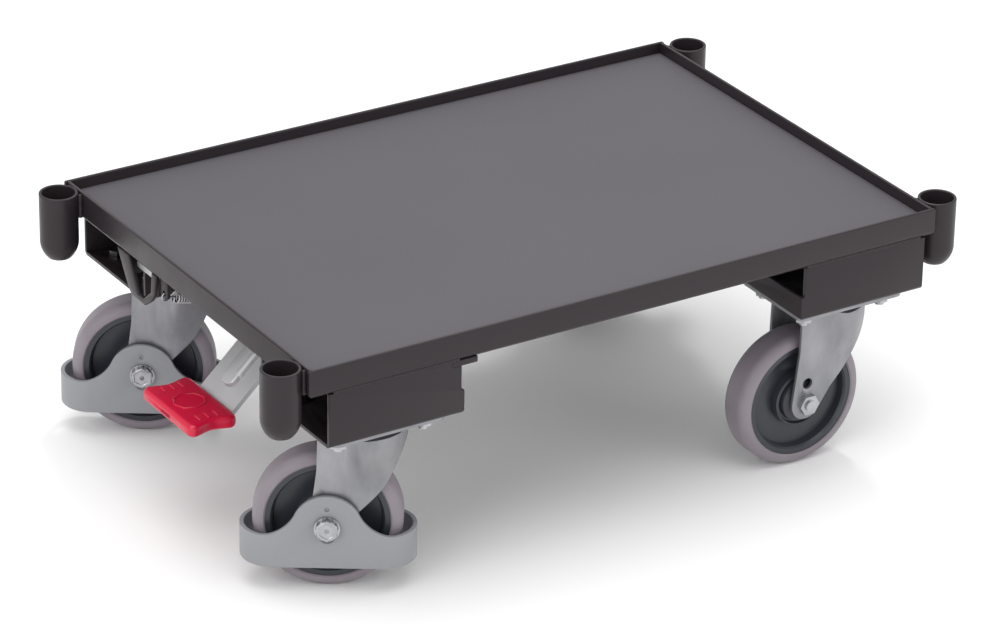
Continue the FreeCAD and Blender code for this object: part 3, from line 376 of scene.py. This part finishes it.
# the moulded foot plate: waisted long sides, a slot in its outer end, six ribs and a ring on top
def makePedalPad():
    low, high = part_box("pedal_pad")
    size = high - low
    form = bmesh.new()
    bmesh.ops.create_cube(form, size=1.0)
    bmesh.ops.scale(form, vec=size, verts=form.verts[:])
    upright = [edge for edge in form.edges if abs(edge.verts[0].co.z - edge.verts[1].co.z) > size.z / 2]
    roundEdges(form, upright, pad["cornerRadius"], pad["cornerSegments"])
    waistPad(form, size)
    cutPadSlot(form)
    rims = [edge for edge in form.edges
            if abs(abs(edge.verts[0].co.z) - size.z / 2) < pad["tiny"]
            and abs(edge.verts[0].co.z - edge.verts[1].co.z) < pad["tiny"]
            and any(abs(face.normal.z) < 0.5 for face in edge.link_faces)]
    roundEdges(form, rims, pad["edgeRadius"], pad["edgeSegments"])
    top = size.z / 2
    for end in (-1, 1):
        for step in (-1, 0, 1):
            spot = (step * pad["ribStep"], end * (size.y / 2 - pad["ribInset"]), top - pad["ribSunk"])
            addBlock(form, spot, pad["ribSize"], pad["ribRadius"])
    addPadRing(form, top)
    bmesh.ops.translate(form, vec=(low + high) / 2, verts=form.verts[:])
    piece = newPiece("pedalPad", form, "pedal", "pedal_red")
    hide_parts("pedal_pad")


def waistPad(form, size):
    along = [edge for edge in form.edges
             if abs(edge.verts[0].co.x - edge.verts[1].co.x) > size.x / 2
             and abs(edge.verts[0].co.y) > size.y * 0.49]
    bmesh.ops.subdivide_edges(form, edges=along, cuts=pad["waistCuts"], use_grid_fill=False)
    for vert in form.verts:
        if abs(vert.co.y) > size.y * 0.4:
            reach = min(abs(vert.co.x) / (size.x / 2 - pad["cornerRadius"] * 0.4), 1.0)
            vert.co.y -= math.copysign(pad["waist"] * math.cos(reach * math.pi / 2) ** 2, vert.co.y)


def cutPadSlot(form):
    outer = min(form.faces, key=lambda face: face.calc_center_median().x)
    bmesh.ops.inset_region(form, faces=[outer], thickness=pad["slotInset"], use_even_offset=True)
    across = [vert.co.y for vert in outer.verts]
    upward = [vert.co.z for vert in outer.verts]
    wide, tall = pad["slotSize"]
    shrink = (1, wide / (max(across) - min(across)), tall / (max(upward) - min(upward)))
    toMiddle = Matrix.Translation(-outer.calc_center_median())
    bmesh.ops.scale(form, vec=shrink, space=toMiddle, verts=outer.verts[:])
    pushed = bmesh.ops.extrude_discrete_faces(form, faces=[outer])["faces"][0]
    bmesh.ops.translate(form, vec=(pad["slotDepth"], 0, 0), verts=pushed.verts[:])


def addPadRing(form, top):
    ring = bmesh.ops.create_cone(form, cap_ends=False, segments=pad["ringSides"], radius1=pad["ringRadius"],
                                 radius2=pad["ringRadius"] - pad["ringTaper"],
                                 depth=pad["ringHeight"] * 2)["verts"]
    bmesh.ops.translate(form, vec=(0, 0, top), verts=ring)
    walls = [face for face in form.faces if face.verts[0] in ring]
    bmesh.ops.solidify(form, geom=walls, thickness=pad["ringWidth"])


bracket = {
    "face": -0.3068,
    "thick": 0.0042,
    "outline": ((0.1190, 0.2094), (0.1000, 0.1800), (0.0965, 0.1760), (0.0915, 0.1740), (0.0705, 0.1737),
                (0.0600, 0.1812), (0.0520, 0.1900), (0.0492, 0.2094), (0.0575, 0.2094), (0.0592, 0.1905),
                (0.0725, 0.1795), (0.0822, 0.1795), (0.0985, 0.2094)),
    "edge": 0.0012,
    "edgeSegments": 3,
    "tiny": 1e-6,
    "flangeEdge": 0.0006,
    "flange": ((-0.3030, 0.1002, 0.1890), (-0.2904, 0.1030, 0.2088)),
}


# a plate in the plane of the short rail, open upward against the rail, with a flange back to the box
def makeBracket():
    form = bmesh.new()
    outline = [form.verts.new((bracket["face"], y, z)) for y, z in bracket["outline"]]
    face = form.faces.new(outline)
    pushed = bmesh.ops.extrude_face_region(form, geom=[face])["geom"]
    bmesh.ops.translate(form, vec=(bracket["thick"], 0, 0),
                        verts=[part for part in pushed if isinstance(part, bmesh.types.BMVert)])
    bmesh.ops.recalc_face_normals(form, faces=form.faces[:])
    rims = [edge for edge in form.edges if abs(edge.verts[0].co.x - edge.verts[1].co.x) < bracket["tiny"]]
    roundEdges(form, rims, bracket["edge"], bracket["edgeSegments"])
    low, high = (Vector(corner) for corner in bracket["flange"])
    addBlock(form, (low + high) / 2, high - low, bracket["flangeEdge"])
    piece = newPiece("windowBracket", form, "frame", "frame_paint")
    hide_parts("window_bracket")


armBead = {
    "foot": (-0.2744, 0.1122),
    "slope": 43.4,
    "from": 0.0095,
    "until": 0.0790,
    "across": (-0.0085, 0.0105),
    "height": 0.0042,
    "endRadius": 0.0088,
    "endSegments": 10,
    "topRadius": 0.0024,
    "topSegments": 5,
}


# the stiffening bead pressed up out of the pedal arm
def makeArmBead():
    length = armBead["until"] - armBead["from"]
    wide = armBead["across"][1] - armBead["across"][0]
    form = bmesh.new()
    bmesh.ops.create_cube(form, size=1.0)
    bmesh.ops.scale(form, vec=(length, wide, armBead["height"] * 2), verts=form.verts[:])
    ends = [edge for edge in form.edges if abs(edge.verts[0].co.z - edge.verts[1].co.z) > armBead["height"]
            and edge.verts[0].co.x < 0]
    roundEdges(form, ends, armBead["endRadius"], armBead["endSegments"])
    tops = [edge for edge in form.edges if min(vert.co.z for vert in edge.verts) > armBead["height"] * 0.99]
    roundEdges(form, tops, armBead["topRadius"], armBead["topSegments"])
    tilt = Matrix.Rotation(-math.radians(armBead["slope"]), 4, "Y")
    middle = Vector(((armBead["from"] + armBead["until"]) / 2, sum(armBead["across"]) / 2, 0))
    foot = Vector((armBead["foot"][0], 0, armBead["foot"][1]))
    bmesh.ops.transform(form, matrix=Matrix.Translation(foot) @ tilt @ Matrix.Translation(middle),
                        verts=form.verts[:])
    # painted light: the bead takes the same lighter copy of the zinc as the arm
    newPiece("armBead", form, "pedal", "painted_light_zinc")


boltHead = {
    "turn": -32.35,
    "axleBack": -0.0275,
    "outward": -0.0303,
    "flat": 0.0170,
    "high": 0.0046,
    "chamfer": 0.0007,
    "chamferSegments": 3,
    "rimWidth": 0.0024,
    "dishDepth": 0.0015,
    "buttonRadius": 0.0026,
    "buttonTaper": 0.8,
    "buttonHigh": 0.0009,
    "buttonSides": 20,
    "casterPlace": (0.2295, 0.1600),
}


# a dished hexagon over the plain head of the bolt that runs through a guarded caster
def makeBoltHead(corner):
    form = bmesh.new()
    high = boltHead["high"]
    across = boltHead["flat"] / math.sqrt(3)
    bmesh.ops.create_cone(form, cap_ends=True, segments=6, radius1=across, radius2=across, depth=high)
    top = max(form.faces, key=lambda face: face.calc_center_median().z)
    rim = list(top.edges)
    bmesh.ops.inset_region(form, faces=[top], thickness=boltHead["rimWidth"], use_even_offset=True)
    pushed = bmesh.ops.extrude_discrete_faces(form, faces=[top])["faces"][0]
    bmesh.ops.translate(form, vec=(0, 0, -boltHead["dishDepth"]), verts=pushed.verts[:])
    roundEdges(form, rim, boltHead["chamfer"], boltHead["chamferSegments"])
    wide = boltHead["buttonRadius"]
    button = bmesh.ops.create_cone(form, cap_ends=True, segments=boltHead["buttonSides"], radius1=wide,
                                   radius2=wide * boltHead["buttonTaper"], depth=boltHead["buttonHigh"] * 2)
    bmesh.ops.translate(form, vec=(0, 0, high / 2 - boltHead["dishDepth"]), verts=button["verts"])
    endward, sideward = corners[corner]
    wheelLow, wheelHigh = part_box("wheel_core_" + corner)
    caster = Matrix.Translation((endward * boltHead["casterPlace"][0], sideward * boltHead["casterPlace"][1],
                                 wheelLow.z / 2 + wheelHigh.z / 2))
    turn = Matrix.Rotation(math.radians(boltHead["turn"]), 4, "Z")
    middle = Matrix.Translation((boltHead["axleBack"], boltHead["outward"] - high / 2, 0))
    outward = Matrix.Rotation(math.pi / 2, 4, "X")
    bmesh.ops.transform(form, matrix=caster @ turn @ middle @ outward, verts=form.verts[:])
    newPiece("boltHead_" + corner, form, "swivel_" + corner, "bolt_zinc")


weld = {
    "radius": 0.0027,
    "ripple": 0.11,
    "pitch": 0.0021,
    "ringsPerPitch": 3,
    "wobble": 0.05,
    "wobbleRate": 1.7,
    "endSize": 0.35,
    "sides": 10,
    "railEnd": 0.3083,
    "socketOffset": 0.0100,
    "lowest": 0.2105,
    "highest": 0.2325,
    "seamSide": 0.2093,
    "seamHeight": 0.2098,
    "seamInset": 0.004,
    "seamRadius": 0.0019,
}


# a laid bead of weld between two points, rippled along its run and tapered at both ends
def makeBead(name, start, end, radius):
    start, end = Vector(start), Vector(end)
    run = end - start
    form = bmesh.new()
    bmesh.ops.create_cone(form, cap_ends=True, segments=weld["sides"], radius1=radius, radius2=radius,
                          depth=run.length)
    along = [edge for edge in form.edges if abs(edge.verts[0].co.z - edge.verts[1].co.z) > run.length / 2]
    rings = round(run.length / weld["pitch"] * weld["ringsPerPitch"])
    bmesh.ops.subdivide_edges(form, edges=along, cuts=rings)
    for vert in form.verts:
        place = (vert.co.z / run.length + 0.5) * run.length / weld["pitch"]
        swell = 1 + weld["ripple"] * math.sin(2 * math.pi * place)
        swell += weld["wobble"] * math.sin(weld["wobbleRate"] * place)
        endward = min(1.0, (run.length / 2 - abs(vert.co.z)) / radius)
        swell *= weld["endSize"] + (1 - weld["endSize"]) * math.sqrt(max(0.0, 1 - (1 - endward) ** 2))
        vert.co.x *= swell
        vert.co.y *= swell
    turn = run.to_track_quat("Z", "Y").to_matrix().to_4x4()
    bmesh.ops.transform(form, matrix=Matrix.Translation((start + end) / 2) @ turn, verts=form.verts[:])
    newPiece(name, form, "frame", "frame_paint")


def weldFrame():
    for corner, (endward, sideward) in corners.items():
        low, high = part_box("socket_" + corner)
        face = endward * weld["railEnd"]
        for side in (-1, 1):
            line = (low.y + high.y) / 2 + side * weld["socketOffset"]
            makeBead("socketBead_%s_%d" % (corner, side), (face, line, weld["lowest"]),
                     (face, line, weld["highest"]), weld["radius"])
        wall = sideward * weld["seamSide"]
        low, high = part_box("box_" + corner)
        makeBead("seamBead_" + corner, (low.x + weld["seamInset"], wall, weld["seamHeight"]),
                 (high.x - weld["seamInset"], wall, weld["seamHeight"]), weld["seamRadius"])


for corner in ("fl", "bl"):
    soften("foot_guard_" + corner, "guard_" + corner, "guard_plastic", "moulded")
print("guards softened")
for corner in corners:
    soften("fork_" + corner, "swivel_" + corner, "zinc_sheet", "sheet")
print("forks softened")
for corner in corners:
    soften("box_" + corner, "frame", "frame_paint", "sheet")
for name in ("rail_front", "rail_back", "rail_left", "rail_right", "spring_tab", "cross_bar"):
    soften(name, "frame", "frame_paint", "sheet")
print("sheet edges softened")
makePedalPad()
makeArmBead()
makeBracket()
for corner in ("fl", "bl"):
    makeBoltHead(corner)
print("pedal pad, arm bead, bracket and bolt heads made")
weldFrame()
print("welds laid")


studio = {
    "floorSize": 14.0,
    "floorColour": paint(0.93, 0.93, 0.93),
    "floorRoughness": 0.8,
    "worldColour": paint(1.0, 1.0, 1.0),
    "worldStrength": 0.78,
}


def makeFloor():
    form = bmesh.new()
    bmesh.ops.create_grid(form, x_segments=1, y_segments=1, size=studio["floorSize"] / 2)
    mesh = bpy.data.meshes.new("floor")
    form.to_mesh(mesh)
    form.free()
    floor = bpy.data.objects.new("floor", mesh)
    bpy.context.collection.objects.link(floor)
    finish = Finish("floorPaper", {"Base Color": studio["floorColour"],
                                   "Roughness": studio["floorRoughness"]})
    mesh.materials.append(finish.material)


lights = {
    "overhead": {"place": (-0.4, -0.3, 2.6), "aim": (0, 0, 0.15), "size": (2.6, 2.0), "power": 38.0},
    "leftPanel": {"place": (-2.6, -1.0, 1.4), "aim": (0, 0, 0.15), "size": (1.6, 2.0), "power": 20.0},
    "glint": {"place": (0.9, 0.9, 1.9), "aim": (0, 0, 0.2), "size": (0.30, 0.30), "power": 9.0},
    "rightPanel": {"place": (1.6, -2.8, 1.2), "aim": (0, 0, 0.15), "size": (1.8, 1.4), "power": 16.0},
}


def makeLight(name, light):
    data = bpy.data.lights.new(name, "AREA")
    data.shape = "RECTANGLE"
    data.size, data.size_y = light["size"]
    data.energy = light["power"]
    lamp = bpy.data.objects.new(name, data)
    lamp.location = light["place"]
    lamp.rotation_euler = (Vector(light["aim"]) - Vector(light["place"])).to_track_quat("-Z", "Y").to_euler()
    bpy.context.collection.objects.link(lamp)


def makeWorld():
    world = bpy.data.worlds.new("studioAir")
    world.use_nodes = True
    air = world.node_tree.nodes["Background"]
    air.inputs["Color"].default_value = studio["worldColour"]
    air.inputs["Strength"].default_value = studio["worldStrength"]
    bpy.context.scene.world = world


makeFloor()
makeWorld()
for name, light in lights.items():
    makeLight(name, light)

view = {
    "azimuth": 32.35,
    "elevation": 26.25,
    "roll": 1.01,
    "distance": 4.18064,
    "focalLength": 175.737,
    "sensor": 36.0,
    "aimRight": 0.0029,
    "aimUp": -0.10487,
}


def makeCamera():
    azimuth = math.radians(view["azimuth"])
    elevation = math.radians(view["elevation"])
    roll = math.radians(view["roll"])
    away = Vector((-math.sin(azimuth) * math.cos(elevation), -math.cos(azimuth) * math.cos(elevation),
                   math.sin(elevation)))
    right = Vector((math.cos(azimuth), -math.sin(azimuth), 0))
    up = Vector((math.sin(azimuth) * math.sin(elevation), math.cos(azimuth) * math.sin(elevation),
                 math.cos(elevation)))
    rim = Vector((0, 0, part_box("rail_front")[1].z))
    place = rim + right * view["aimRight"] + up * view["aimUp"] + away * view["distance"]
    rolledRight = right * math.cos(roll) + up * math.sin(roll)
    rolledUp = up * math.cos(roll) - right * math.sin(roll)
    data = bpy.data.cameras.new("camera")
    data.sensor_width = view["sensor"]
    data.lens = view["focalLength"]
    camera = bpy.data.objects.new("camera", data)
    turned = Matrix((rolledRight, rolledUp, away)).transposed().to_4x4()
    camera.matrix_world = Matrix.Translation(place) @ turned
    bpy.context.collection.objects.link(camera)
    bpy.context.scene.camera = camera


makeCamera()
bpy.context.scene.view_settings.view_transform = "Standard"
print("studio ready")
